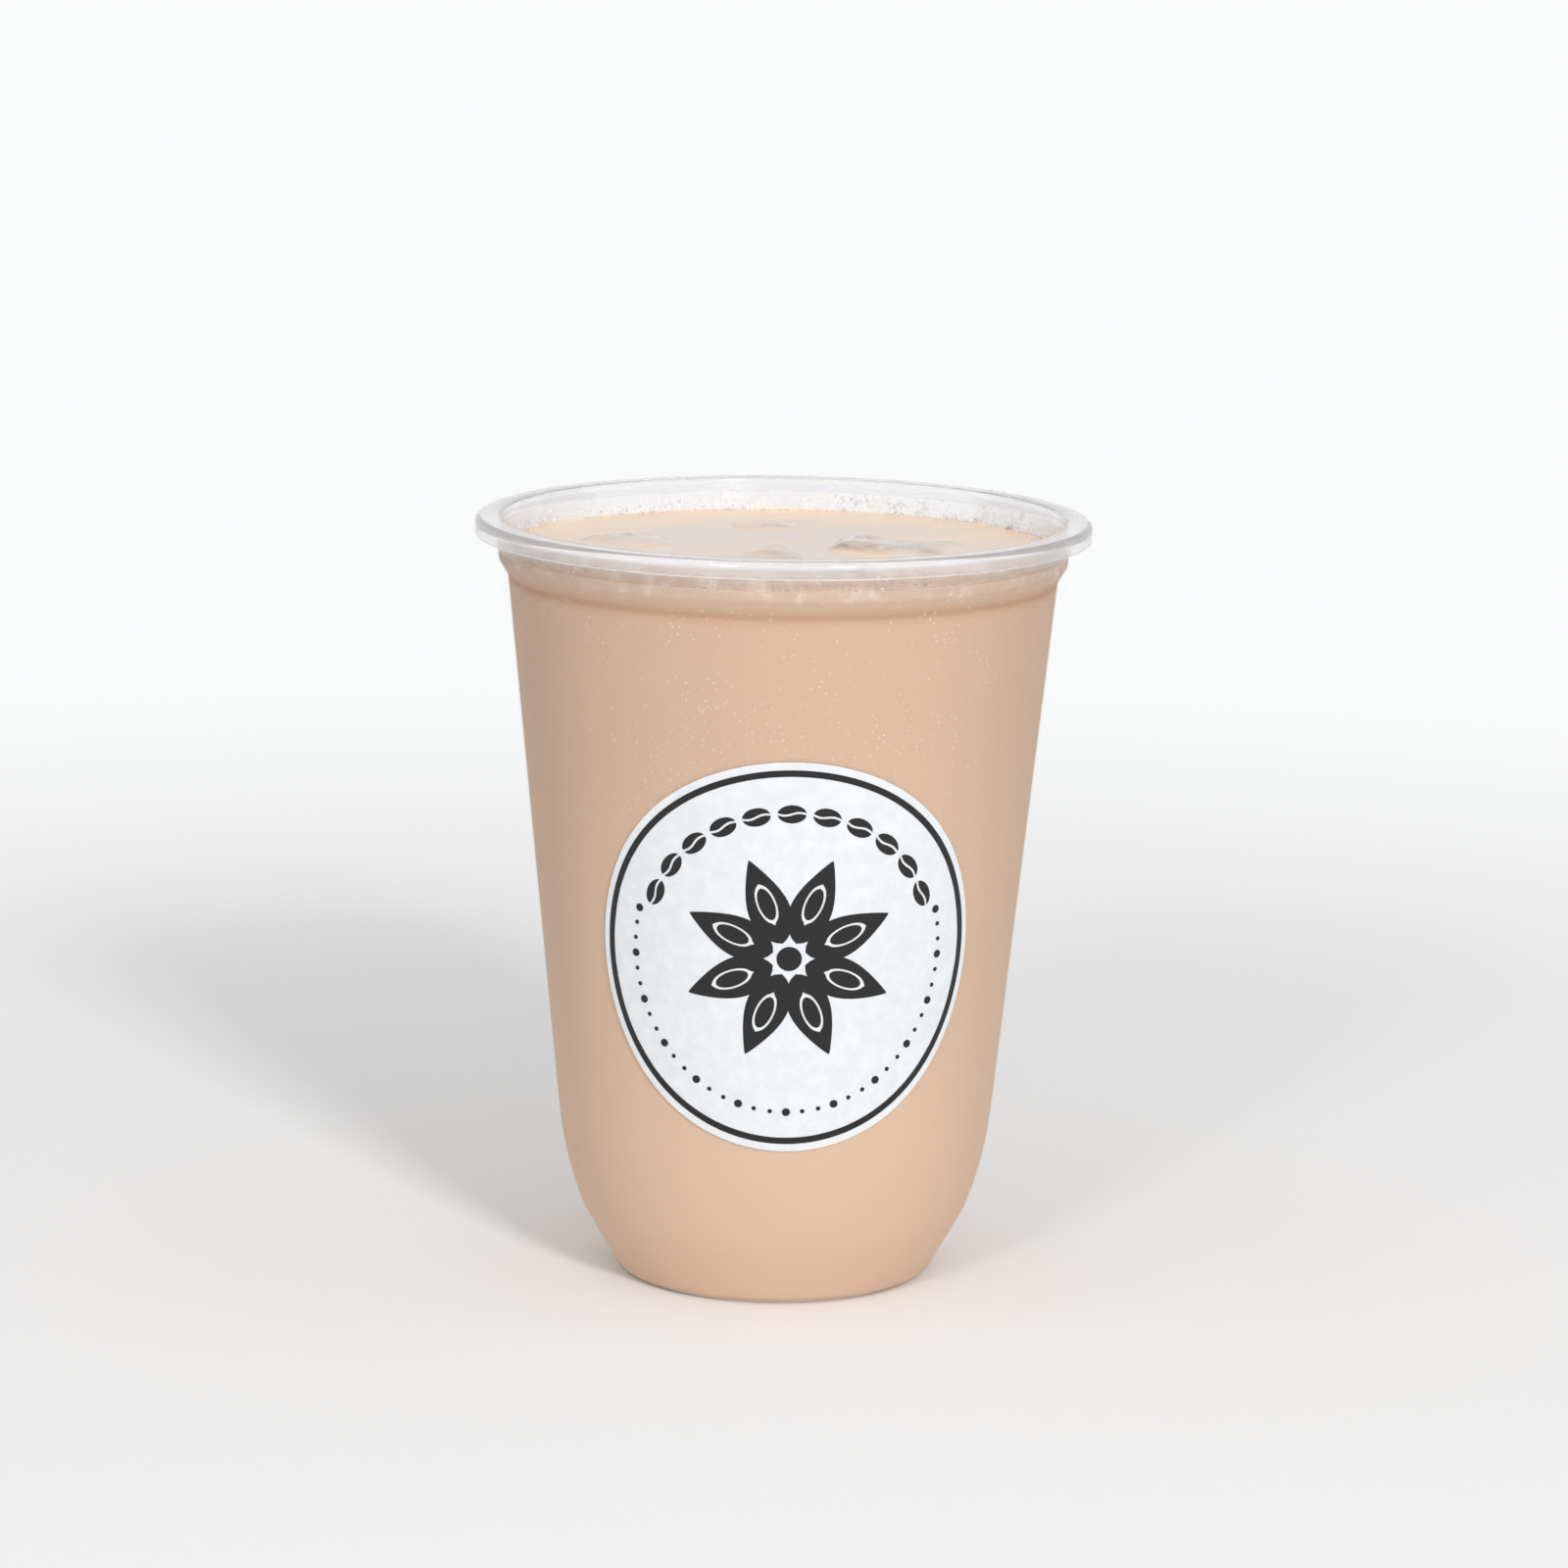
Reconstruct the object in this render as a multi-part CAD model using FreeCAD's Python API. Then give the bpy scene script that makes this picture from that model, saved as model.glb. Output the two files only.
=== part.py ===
import FreeCAD, Part

import math
import os

from FreeCAD import Vector

# A half-litre cold cup in clear plastic, filled with an iced milk drink, with a round
# adhesive label on its front. All sizes are in millimetres.
#
# Frame: +Z is up, z = 0 is the table, the cup's axis is the Z axis, and the label looks
# towards -Y.

# Overall
CUP_HEIGHT = 118.7          # table to the top of the lip
RIM_RADIUS = 47.5           # to the outside of the lip
WALL = 0.6                  # of the body, floor and neck

# Lip: a flat ring that stands out from the neck, with a skirt that hangs from its edge
LIP_OVERHANG = 3.5          # from the neck's outside to the skirt's outside
LIP_THICKNESS = 1.1
LIP_OUTER_ROUND = 1.05      # on the top outer edge, where a lid would snap over
LIP_INNER_ROUND = 0.3       # on the top inner edge, where the mouth drinks
SKIRT_DEPTH = 2.7           # top of the lip to the skirt's bottom
SKIRT_THICKNESS = 0.75
SKIRT_ROUND = 0.2

# Neck and stacking shoulder, from the top down
CREASE_DROP = 9.05          # top of the lip to the crease under the shoulder
SHOULDER_DROP = 6.55        # top of the lip to where the shoulder meets the neck
SHOULDER_STEP = 1.5         # how far the neck stands out from the crease
CREASE_ROUND = 1.0
SHOULDER_ROUND = 1.6

# Body and bowl, angles from upright
BODY_ANGLE = 5.8
BOWL_ANGLE = 19.4           # where the bowl's two curves meet
FOOT_ANGLE = 29.8
BOWL_UPPER_CURVE = 60.0
BOWL_LOWER_CURVE = 20.0
FOOT_HEIGHT = 8.9           # table to where the bowl's curves begin
FOOT_ROUND = 2.6

# Underside
FOOT_RING_WIDTH = 2.4       # of the flat ring the cup stands on
FOOT_RING_SLOPE = 1.2       # how far the recess's wall leans in
RECESS_DEPTH = 1.3
RECESS_ROUND = 1.0
GATE_RADIUS = 1.6           # the nub where the plastic came in
GATE_HEIGHT = 0.35

# Witness line of the mould's base insert, a fine ridge round the foot
WITNESS_HEIGHT = 7.3
WITNESS_RIDGE = 0.14        # how far it stands out
WITNESS_WIDTH = 0.5
WITNESS_ROUND = 0.08

# Drink
FILL_DROP = 5.3             # top of the lip to the drink's level
FILL_CLEARANCE = 0.0        # the drink wets the wall

# Label
LABEL_RADIUS = 30.6         # as a flat disc, before it is wrapped
LABEL_THICKNESS = 0.2       # coated stock and its adhesive
LABEL_HEIGHT = 57.3         # table to its centre
LABEL_TURN = 2.8            # degrees round the cup from the front, towards +X
LABEL_POINTS = 48           # on its wrapped outline

AXIS = Vector(0, 0, 1)
ORIGIN = Vector(0, 0, 0)
NECK_RADIUS = RIM_RADIUS - LIP_OVERHANG
CREASE_RADIUS = NECK_RADIUS - SHOULDER_STEP
CREASE_HEIGHT = CUP_HEIGHT - CREASE_DROP
LIP_UNDERSIDE = CUP_HEIGHT - LIP_THICKNESS
DRINK_LEVEL = CUP_HEIGHT - FILL_DROP


def sine(degrees):
    return math.sin(math.radians(degrees))


def cosine(degrees):
    return math.cos(math.radians(degrees))


def tangent(degrees):
    return math.tan(math.radians(degrees))


def rounded_wire(corners, closed=False):
    """A wire in the XZ plane through corners (radius, height, rounding).

    Each rounding is an arc that touches the straight runs on both sides of its corner.
    """
    points = [Vector(radius, 0, height) for radius, height, _ in corners]
    count = len(points)
    starts, ends, arcs = [], [], []
    for i, corner in enumerate(corners):
        point, rounding = points[i], corner[2]
        if rounding == 0 or (not closed and i in (0, count - 1)):
            starts.append(point)
            ends.append(point)
            arcs.append(None)
            continue
        back = (points[i - 1] - point).normalize()
        forth = (points[(i + 1) % count] - point).normalize()
        half = back.getAngle(forth) / 2
        reach = rounding / math.tan(half)
        middle = (back + forth).normalize() * (rounding / math.sin(half) - rounding)
        starts.append(point + back * reach)
        ends.append(point + forth * reach)
        arcs.append(point + middle)
    edges = []
    for i in range(count):
        if arcs[i] is not None:
            edges.append(Part.Arc(starts[i], arcs[i], ends[i]).toShape())
        following = (i + 1) % count
        if (closed or following) and ends[i].distanceToPoint(starts[following]) > 1e-6:
            edges.append(Part.makeLine(ends[i], starts[following]))
    return Part.Wire(edges)


def turned(wire):
    """The solid that a closed outline sweeps out in one turn about the cup's axis."""
    return Part.Face(wire).revolve(ORIGIN, AXIS, 360)


def body_radius(height):
    """The outside of the tapered body, at a height above the bowl."""
    return CREASE_RADIUS - tangent(BODY_ANGLE) * (CREASE_HEIGHT - height)


def bowl_corners():
    """Corners of the straight runs that the bowl's two curves touch, from the foot up."""
    joint = FOOT_HEIGHT + BOWL_LOWER_CURVE * (sine(FOOT_ANGLE) - sine(BOWL_ANGLE))
    top = joint + BOWL_UPPER_CURVE * (sine(BOWL_ANGLE) - sine(BODY_ANGLE))
    joint_radius = body_radius(top) - BOWL_UPPER_CURVE * (cosine(BODY_ANGLE) - cosine(BOWL_ANGLE))
    upper_reach = BOWL_UPPER_CURVE * tangent((BOWL_ANGLE - BODY_ANGLE) / 2)
    lower_reach = BOWL_LOWER_CURVE * tangent((FOOT_ANGLE - BOWL_ANGLE) / 2)
    upper = (joint_radius + upper_reach * sine(BOWL_ANGLE),
             joint + upper_reach * cosine(BOWL_ANGLE), BOWL_UPPER_CURVE)
    lower = (joint_radius - lower_reach * sine(BOWL_ANGLE),
             joint - lower_reach * cosine(BOWL_ANGLE), BOWL_LOWER_CURVE)
    return lower, upper


def foot_radius(height):
    """The outside of the sloping foot, below the bowl's curves."""
    lower = bowl_corners()[0]
    return lower[0] - tangent(FOOT_ANGLE) * (lower[1] - height)


def outside_wire():
    """The outside, from the middle of the underside to the lip's underside."""
    lower, upper = bowl_corners()
    stand = foot_radius(0)
    ring = stand - FOOT_ROUND * tangent((90 - FOOT_ANGLE) / 2) - FOOT_RING_WIDTH
    return rounded_wire([
        (0, RECESS_DEPTH, 0),
        (ring - FOOT_RING_SLOPE, RECESS_DEPTH, RECESS_ROUND),
        (ring, 0, RECESS_ROUND),
        (stand, 0, FOOT_ROUND),
        lower,
        upper,
        (CREASE_RADIUS, CREASE_HEIGHT, CREASE_ROUND),
        (NECK_RADIUS, CUP_HEIGHT - SHOULDER_DROP, SHOULDER_ROUND),
        (NECK_RADIUS, CUP_HEIGHT, 0),
    ])


def solid_within(wire):
    """The solid that an open outline, from the axis up to the lip's top, encloses."""
    top = max(wire.Vertexes, key=lambda vertex: vertex.Z).Point
    bottom = min(wire.Vertexes, key=lambda vertex: vertex.X).Point
    above = Vector(0, 0, top.z)
    lid = [Part.makeLine(top, above), Part.makeLine(above, bottom)]
    return turned(Part.Wire(wire.Edges + lid))


def outside_grown(distance):
    """The cup's outside as a solid, grown outwards by a distance, or shrunk if negative."""
    wire = outside_wire()
    if distance:
        wire = wire.makeOffset2D(-distance, 0, False, True)
    return solid_within(wire)


def make_lip():
    """The lip: a flat ring with a skirt, open below between the skirt and the neck."""
    inner = NECK_RADIUS - WALL
    return turned(rounded_wire([
        (inner, LIP_UNDERSIDE - WALL, 0),
        (inner, CUP_HEIGHT, LIP_INNER_ROUND),
        (RIM_RADIUS, CUP_HEIGHT, LIP_OUTER_ROUND),
        (RIM_RADIUS, CUP_HEIGHT - SKIRT_DEPTH, SKIRT_ROUND),
        (RIM_RADIUS - SKIRT_THICKNESS, CUP_HEIGHT - SKIRT_DEPTH, SKIRT_ROUND),
        (RIM_RADIUS - SKIRT_THICKNESS, LIP_UNDERSIDE, SKIRT_ROUND),
        (NECK_RADIUS, LIP_UNDERSIDE, 0),
        (NECK_RADIUS, LIP_UNDERSIDE - WALL, 0),
    ], closed=True))


def make_witness_line():
    """The fine ridge round the foot, rooted in the middle of the wall."""
    surface = foot_radius(WITNESS_HEIGHT)
    root = surface - WALL / 2
    return turned(rounded_wire([
        (root, WITNESS_HEIGHT - WITNESS_WIDTH, 0),
        (surface + WITNESS_RIDGE, WITNESS_HEIGHT, WITNESS_ROUND),
        (root, WITNESS_HEIGHT + WITNESS_WIDTH / 2, 0),
    ], closed=True))


def make_cup():
    """The thin cup: its outside less its inside, with lip, witness line and gate nub."""
    above = CUP_HEIGHT - LIP_UNDERSIDE
    slab = Part.makeCylinder(RIM_RADIUS, above, Vector(0, 0, LIP_UNDERSIDE))
    shell = outside_grown(0).cut(outside_grown(-WALL)).cut(slab)
    gate = Part.makeCylinder(GATE_RADIUS, GATE_HEIGHT + WALL / 2,
                             Vector(0, 0, RECESS_DEPTH - GATE_HEIGHT))
    return shell.fuse([make_lip(), make_witness_line(), gate]).removeSplitter()


def make_drink():
    """The drink: all of the cup's inside, up to its level."""
    inside = outside_grown(-WALL - FILL_CLEARANCE)
    below = Part.makeCylinder(RIM_RADIUS, DRINK_LEVEL, ORIGIN)
    return inside.common(below)


def taper_grown(distance):
    """The body's taper as a plain cone from the table to the crease, grown by a distance."""
    growth = distance / cosine(BODY_ANGLE)
    return Part.makeCone(body_radius(0) + growth, CREASE_RADIUS + growth, CREASE_HEIGHT)


def label_outline():
    """The wrapped disc's outline, seen along the line that it faces.

    The body's cone rolls out flat into a fan, on which the label is a true circle.
    Each point of the circle is rolled back on to the cone.
    """
    centre_reach = body_radius(LABEL_HEIGHT) / sine(BODY_ANGLE)
    points = []
    for i in range(LABEL_POINTS):
        turn = 360 * i / LABEL_POINTS
        across = LABEL_RADIUS * cosine(turn)
        along = centre_reach + LABEL_RADIUS * sine(turn)
        reach = math.hypot(across, along)
        azimuth = math.atan2(across, along) / sine(BODY_ANGLE)
        height = LABEL_HEIGHT + (reach - centre_reach) * cosine(BODY_ANGLE)
        points.append(Vector(body_radius(height) * math.sin(azimuth), 0, height))
    curve = Part.BSplineCurve()
    curve.interpolate(points, PeriodicFlag=True)
    return Part.Wire(curve.toShape())


def make_label():
    """The label: a skin on the body's taper, as far as the wrapped outline goes."""
    prism = Part.Face(label_outline()).extrude(Vector(0, -RIM_RADIUS, 0))
    label = prism.common(taper_grown(LABEL_THICKNESS)).cut(taper_grown(0))
    label.rotate(ORIGIN, AXIS, LABEL_TURN)
    return label


os.makedirs("parts", exist_ok=True)
pieces = {"cup": make_cup(), "drink": make_drink(), "label": make_label()}
for name, shape in pieces.items():
    shape.exportStep(f"parts/{name}.step")
    box = shape.optimalBoundingBox()
    print(f"{name}: {len(shape.Solids)} solid, valid {shape.isValid()}, {shape.Volume / 1000:.2f} ml, "
          f"x {box.XMin:.2f} {box.XMax:.2f}, y {box.YMin:.2f} {box.YMax:.2f}, "
          f"z {box.ZMin:.2f} {box.ZMax:.2f}")
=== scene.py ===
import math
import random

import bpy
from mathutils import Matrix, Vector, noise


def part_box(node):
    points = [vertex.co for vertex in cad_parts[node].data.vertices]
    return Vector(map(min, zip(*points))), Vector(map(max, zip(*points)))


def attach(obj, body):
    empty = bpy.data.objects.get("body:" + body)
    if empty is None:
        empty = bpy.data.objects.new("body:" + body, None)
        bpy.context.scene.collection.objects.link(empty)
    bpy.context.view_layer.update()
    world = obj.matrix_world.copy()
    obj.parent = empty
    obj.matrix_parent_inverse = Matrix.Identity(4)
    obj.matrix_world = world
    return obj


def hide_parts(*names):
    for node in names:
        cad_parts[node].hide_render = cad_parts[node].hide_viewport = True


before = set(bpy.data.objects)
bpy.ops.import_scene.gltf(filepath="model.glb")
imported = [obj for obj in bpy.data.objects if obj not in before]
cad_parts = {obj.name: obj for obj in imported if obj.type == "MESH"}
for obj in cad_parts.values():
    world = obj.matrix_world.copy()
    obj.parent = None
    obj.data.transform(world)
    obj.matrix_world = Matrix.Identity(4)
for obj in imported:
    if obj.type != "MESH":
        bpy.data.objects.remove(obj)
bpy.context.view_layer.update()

# %% [markdown]
# # An iced milk drink in a clear cup
# The cup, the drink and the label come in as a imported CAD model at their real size. The
# label keeps its mesh and gets its paper here. The cup is spun again from its own outline.
# In CAD the drink is one plain block up to its level, so it is modelled again, with its ice,
# its froth and the bubbles on the wall. Lengths are worked out in millimetres, and MM turns
# them to metres.

MM = 0.001
drink_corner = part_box("drink")[1] / MM
level, neck_radius = drink_corner.z, drink_corner.x

# %% [markdown]
# ## Helpers for colours, nodes and modelling
# A colour is picked from a swatch as an sRGB hex value, but a shader works in linear light,
# so one function turns it. Another adds a node with its settings and links, which keeps each
# material down to a few readable lines. Two more clear the selection and pick a piece,
# because an operator acts on all that is selected.

# %% Helpers for materials


def linear(swatch):
    """An sRGB hex value such as "#e0b080" as a linear colour."""
    parts = [int(swatch[i:i + 2], 16) / 255 for i in (1, 3, 5)]
    parts = [p / 12.92 if p <= 0.04045 else ((p + 0.055) / 1.055) ** 2.4 for p in parts]
    return (*parts, 1.0)


def node(tree, kind, inputs=None, **settings):
    """Adds a node: settings are its properties, inputs its sockets' values or sources."""
    made = tree.nodes.new("ShaderNode" + kind)
    for name, value in settings.items():
        setattr(made, name, value)
    for socket, value in (inputs or {}).items():
        if isinstance(value, bpy.types.NodeSocket):
            tree.links.new(value, made.inputs[socket])
        else:
            made.inputs[socket].default_value = value
    return made


def empty_material(name):
    """A material with no nodes yet, and its tree."""
    made = bpy.data.materials.new(name)
    made.use_nodes = True
    made.node_tree.nodes.clear()
    return made, made.node_tree


# %% Helpers for modelling


def deselect():
    """Leaves nothing selected, and no object in edit mode."""
    if bpy.context.object and bpy.context.object.mode != "OBJECT":
        bpy.ops.object.mode_set(mode="OBJECT")
    bpy.ops.object.select_all(action="DESELECT")


def pick(piece):
    """Selects one piece and makes it the active one."""
    deselect()
    piece.select_set(True)
    bpy.context.view_layer.objects.active = piece
    return piece


def from_points(name, points, edges, faces=()):
    """A new piece from points in millimetres."""
    mesh = bpy.data.meshes.new(name)
    mesh.from_pydata([Vector(p) * MM for p in points], edges, faces)
    piece = bpy.data.objects.new(name, mesh)
    bpy.context.scene.collection.objects.link(piece)
    return pick(piece)


def triangles(piece):
    """How many triangles a piece has."""
    piece.data.calc_loop_triangles()
    return len(piece.data.loop_triangles)


SPIN_STEPS = 256
SAME_POINT = 0.002


def spin_round(merge=SAME_POINT):
    """Spins the active piece's outline once round the z axis, and closes seam and poles."""
    bpy.ops.object.mode_set(mode="EDIT")
    bpy.ops.mesh.select_all(action="SELECT")
    bpy.ops.mesh.spin(steps=SPIN_STEPS, angle=math.tau, center=(0, 0, 0), axis=(0, 0, 1))
    bpy.ops.mesh.select_all(action="SELECT")
    bpy.ops.mesh.remove_doubles(threshold=merge * MM)
    bpy.ops.mesh.normals_make_consistent(inside=False)
    bpy.ops.object.mode_set(mode="OBJECT")


# %% [markdown]
# ## The cup's wall
# The CAD cup is right, but its mesh has long facets, and a clear lip bends light, so it
# shows each one as a dash. The cup is a body of revolution: a copy is sliced through its
# axis, half of the slice is kept, and that outline is spun again in finer steps. Nothing
# about its shape or size changes. A subdivision modifier would give small facets too, but
# it would also round off the lip's edges.

# %% A copy, sliced through its axis
pick(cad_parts["cup"])
bpy.ops.object.duplicate()
cup = bpy.context.object
cup.name = "cup_wall"
cup.parent = None
cup.matrix_world = Matrix.Identity(4)
for key in list(cup.keys()):
    del cup[key]
bpy.ops.object.mode_set(mode="EDIT")
bpy.ops.mesh.select_all(action="SELECT")
bpy.ops.mesh.remove_doubles(threshold=SAME_POINT * MM)
bpy.ops.mesh.bisect(plane_co=(0, 0, 0), plane_no=(0, 1, 0), clear_inner=True,
                    clear_outer=True, threshold=SAME_POINT * MM)
bpy.ops.mesh.select_all(action="DESELECT")
bpy.ops.object.mode_set(mode="OBJECT")
print("the slice has", len(cup.data.vertices), "points")

# %% Half of the slice, spun again
PAST_AXIS = -0.01
SMOOTH_UNDER = math.radians(30)
for vertex in cup.data.vertices:
    vertex.select = vertex.co.x < PAST_AXIS * MM
bpy.ops.object.mode_set(mode="EDIT")
bpy.ops.mesh.delete(type="VERT")
bpy.ops.object.mode_set(mode="OBJECT")
spin_round()
bpy.ops.object.shade_smooth_by_angle(angle=SMOOTH_UNDER)
print("cup", triangles(cup), "triangles")

# %% [markdown]
# ## The drink
# Milk makes tea and coffee opaque, so the drink is a solid with a skin, and no light goes
# through it. A gap of air between a liquid and its cup shows as a silver film, so the skin
# reaches less than half a millimetre into the wall, which also makes up for the way that a
# clear wall spreads what it holds out to its very edge. The outline is the CAD drink's own.
# It is spun round the axis in small steps, because clear plastic in front of it would show
# every facet. Scaling a copy of the CAD drink would be quicker, but would reach further into
# the wall at the top than at the foot. Where the drink meets the wall it creeps up by a
# quarter of a millimetre.

# %% The drink's outline, from the middle of the bottom to the middle of the top
INTO_WALL = 0.4
SMALLEST_STEP = 0.08
CREEP_HEIGHT = 0.25
CREEP_FADE = 0.55
RINGS_FROM_EDGE = (0.0, 0.4, 0.6, 0.85, 1.15, 1.6, 2.1, 2.8, 3.8)
INNER_RINGS = 26


def skin_outline():
    """The CAD drink's outline from the bottom up, a little way into the wall."""
    found = {(round(math.hypot(v.co.x, v.co.y) / MM, 3), round(v.co.z / MM, 3))
             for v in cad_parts["drink"].data.vertices}
    from_bottom = sorted(found, key=lambda p: math.atan2(p[1] - level / 2, p[0]))
    kept = []
    for point in map(Vector, from_bottom):
        if not kept or (point - kept[-1]).length > SMALLEST_STEP:
            kept.append(point)
    grown = []
    for i, point in enumerate(kept):
        before, after = kept[max(i - 1, 0)], kept[min(i + 1, len(kept) - 1)]
        run = (after - before).normalized()
        grown.append(point + Vector((run.y, -run.x)) * INTO_WALL)
    grown[0].y -= INTO_WALL
    return grown


def creep(radius):
    """How far the drink creeps up above its level at a radius."""
    inwards = min(radius - edge_radius + INTO_WALL, 0.0)
    return CREEP_HEIGHT * math.exp(inwards / CREEP_FADE)


wall = skin_outline()
edge_radius = wall[-1].x
ring_radii = [edge_radius - inwards for inwards in RINGS_FROM_EDGE]
ring_radii += [ring_radii[-1] * (1 - i / INNER_RINGS) for i in range(1, INNER_RINGS)]
outline = [(0.0, 0.0, wall[0].y)] + [(p.x, 0.0, p.y) for p in wall[:-1]]
outline += [(r, 0.0, level + creep(r)) for r in ring_radii] + [(0.0, 0.0, level)]
print(len(outline), "points from the bottom's middle to the top's")

# %% Spun into a solid, with a slow swell on its surface
SKIN_SAME_POINT = 0.01
SWELL_HEIGHT = 0.12
SWELL_LENGTH = 9.0
drink = from_points("drink_body", outline, [(i, i + 1) for i in range(len(outline) - 1)])
spin_round(SKIN_SAME_POINT)
for vertex in drink.data.vertices:
    if vertex.co.z / MM > level - SKIN_SAME_POINT:
        place = Vector((vertex.co.x, vertex.co.y, 0)) / (SWELL_LENGTH * MM)
        vertex.co.z += SWELL_HEIGHT * MM * noise.noise(place)
print("drink", triangles(drink), "triangles")

# %% [markdown]
# ## Ice
# The ice is cubes from a machine, poured over and half melted, so their corners are round
# and their faces sag. Only their tops break the surface. Each is modelled once from a cube
# that is bevelled, cut finer and pushed about by noise, then turned and set down with its
# top just proud. A cube that is only pushed into the drink would show the drink's face
# inside it, so a slightly smaller copy of each one is taken out of the drink first.

# %% Where the cubes lie
# x, y, top above the level, side, turn about z, tilt about x and about y in degrees
ICE = (
    (17.5, 4.5, 1.5, 24.0, -14, -2.0, 2.0),
    (-4.5, -8.0, 1.1, 19.0, 12, 3.0, -2.5),
    (-23.0, 6.0, 0.8, 18.0, 35, 2.0, 3.0),
    (7.0, -26.5, 1.2, 19.0, 52, 3.5, -2.0),
    (-2.0, 25.5, 0.45, 17.0, 24, 1.0, -1.5),
)
MELT_BEVEL = 0.24
MELT_SAG = 0.9
SAG_LENGTH = 0.45
MELT_DENT = 0.12
DENT_LENGTH = 2.6


def melted_cube(name, x, y, proud, side, turn, tilt_x, tilt_y, shrink=0.0):
    """One cube with melted corners and sagging faces, in its place."""
    deselect()
    bpy.ops.mesh.primitive_cube_add(size=side * MM)
    cube = bpy.context.object
    cube.name = name
    bpy.ops.object.mode_set(mode="EDIT")
    bpy.ops.mesh.select_all(action="SELECT")
    bpy.ops.mesh.bevel(offset=side * MELT_BEVEL * MM, segments=5, profile=0.5, affect="EDGES")
    bpy.ops.mesh.select_all(action="SELECT")
    bpy.ops.mesh.subdivide(number_cuts=2)
    bpy.ops.object.mode_set(mode="OBJECT")
    for vertex in cube.data.vertices:
        way = vertex.co.normalized()
        sag = noise.noise(vertex.co / (side * SAG_LENGTH * MM) + Vector((x, y, side)))
        dent = noise.noise(vertex.co / (DENT_LENGTH * MM) + Vector((y, side, x)))
        vertex.co += way * MM * (MELT_SAG * sag + MELT_DENT * dent - shrink)
    cube.data.transform(Matrix.Rotation(math.radians(tilt_x), 4, "X")
                        @ Matrix.Rotation(math.radians(tilt_y), 4, "Y")
                        @ Matrix.Rotation(math.radians(turn), 4, "Z"))
    top = max(v.co.z for v in cube.data.vertices) + shrink * MM
    cube.data.transform(Matrix.Translation(
        Vector((x * MM, y * MM, (level + proud) * MM - top))))
    return cube


def joined(pieces, name):
    """Several pieces as one."""
    deselect()
    for piece in pieces:
        piece.select_set(True)
    bpy.context.view_layer.objects.active = pieces[0]
    bpy.ops.object.join()
    pieces[0].name = name
    return pieces[0]


ice = joined([melted_cube(f"ice_{i}", *row) for i, row in enumerate(ICE)], "ice_cubes")
bpy.ops.object.shade_smooth()
print("ice", triangles(ice), "triangles")

# %% Their hollows in the drink
HOLLOW_SHRINK = 0.06
SKIN_SMOOTH_UNDER = math.radians(38)
hollows = joined([melted_cube(f"hollow_{i}", *row, shrink=HOLLOW_SHRINK)
                  for i, row in enumerate(ICE)], "hollows")
pick(drink)
cut = drink.modifiers.new("ice_hollows", "BOOLEAN")
cut.operation = "DIFFERENCE"
cut.solver = "EXACT"
cut.object = hollows
bpy.ops.object.modifier_apply(modifier=cut.name)
bpy.data.objects.remove(hollows)
bpy.ops.object.shade_smooth_by_angle(angle=SKIN_SMOOTH_UNDER)
print("drink with hollows", triangles(drink), "triangles")

# %% [markdown]
# ## Froth and bubbles
# Shaking leaves small bubbles at the wall: a ring of them floats where the drink meets the
# plastic, and where the drink washed up and ran back a lacy patch of finer ones sticks
# to the wall above it. A bump in a material would do for bubbles that are seen from above,
# but these are seen edge on, so each is a small ball of a few dozen faces. A kind is one
# piece, and the same seed gives the same bubbles each time.

# %% Balls, and loose clumps of places for them
random.seed(7)


def ball_cloud(name, balls):
    """One piece of many small balls, each (x, y, z, radius) in millimetres."""
    deselect()
    bpy.ops.mesh.primitive_ico_sphere_add(subdivisions=2, radius=1.0)
    ball = bpy.context.object
    shape = [v.co.copy() for v in ball.data.vertices]
    sides = [tuple(p.vertices) for p in ball.data.polygons]
    bpy.data.objects.remove(ball)
    points, faces = [], []
    for x, y, z, radius in balls:
        first = len(points)
        points += [Vector((x, y, z)) + co * radius for co in shape]
        faces += [tuple(first + i for i in side) for side in sides]
    cloud = from_points(name, points, [], faces)
    bpy.ops.object.shade_smooth()
    print(name, triangles(cloud), "triangles")
    return cloud


def clumps(count, spread_turn, spread_height, top, turns):
    """Places for bubbles: turn about the axis, and height above the level."""
    places = []
    while len(places) < count:
        turn = math.radians(random.uniform(*turns))
        height = top * random.random() ** 1.5
        for _ in range(random.randint(3, 9)):
            places.append((turn + random.gauss(0, spread_turn / neck_radius),
                           max(0.05, height + random.gauss(0, spread_height))))
    return places


# %% The ring of bubbles that floats at the wall
CONTACT_SIZES = (0.12, 0.16, 0.2, 0.26, 0.4)
TOUCHING, ADRIFT = 0.9, 2.6
AFLOAT = 0.15
contact = []
for turn, height in clumps(count=210, spread_turn=1.8, spread_height=0.1, top=0.2,
                           turns=(0, 360)):
    size = random.choice(CONTACT_SIZES)
    reach = neck_radius - size * random.uniform(TOUCHING, ADRIFT)
    contact.append((reach * math.cos(turn), reach * math.sin(turn),
                    level + CREEP_HEIGHT * 0.3 + size * AFLOAT, size))
bubbles = ball_cloud("foam_bubbles", contact)

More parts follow.
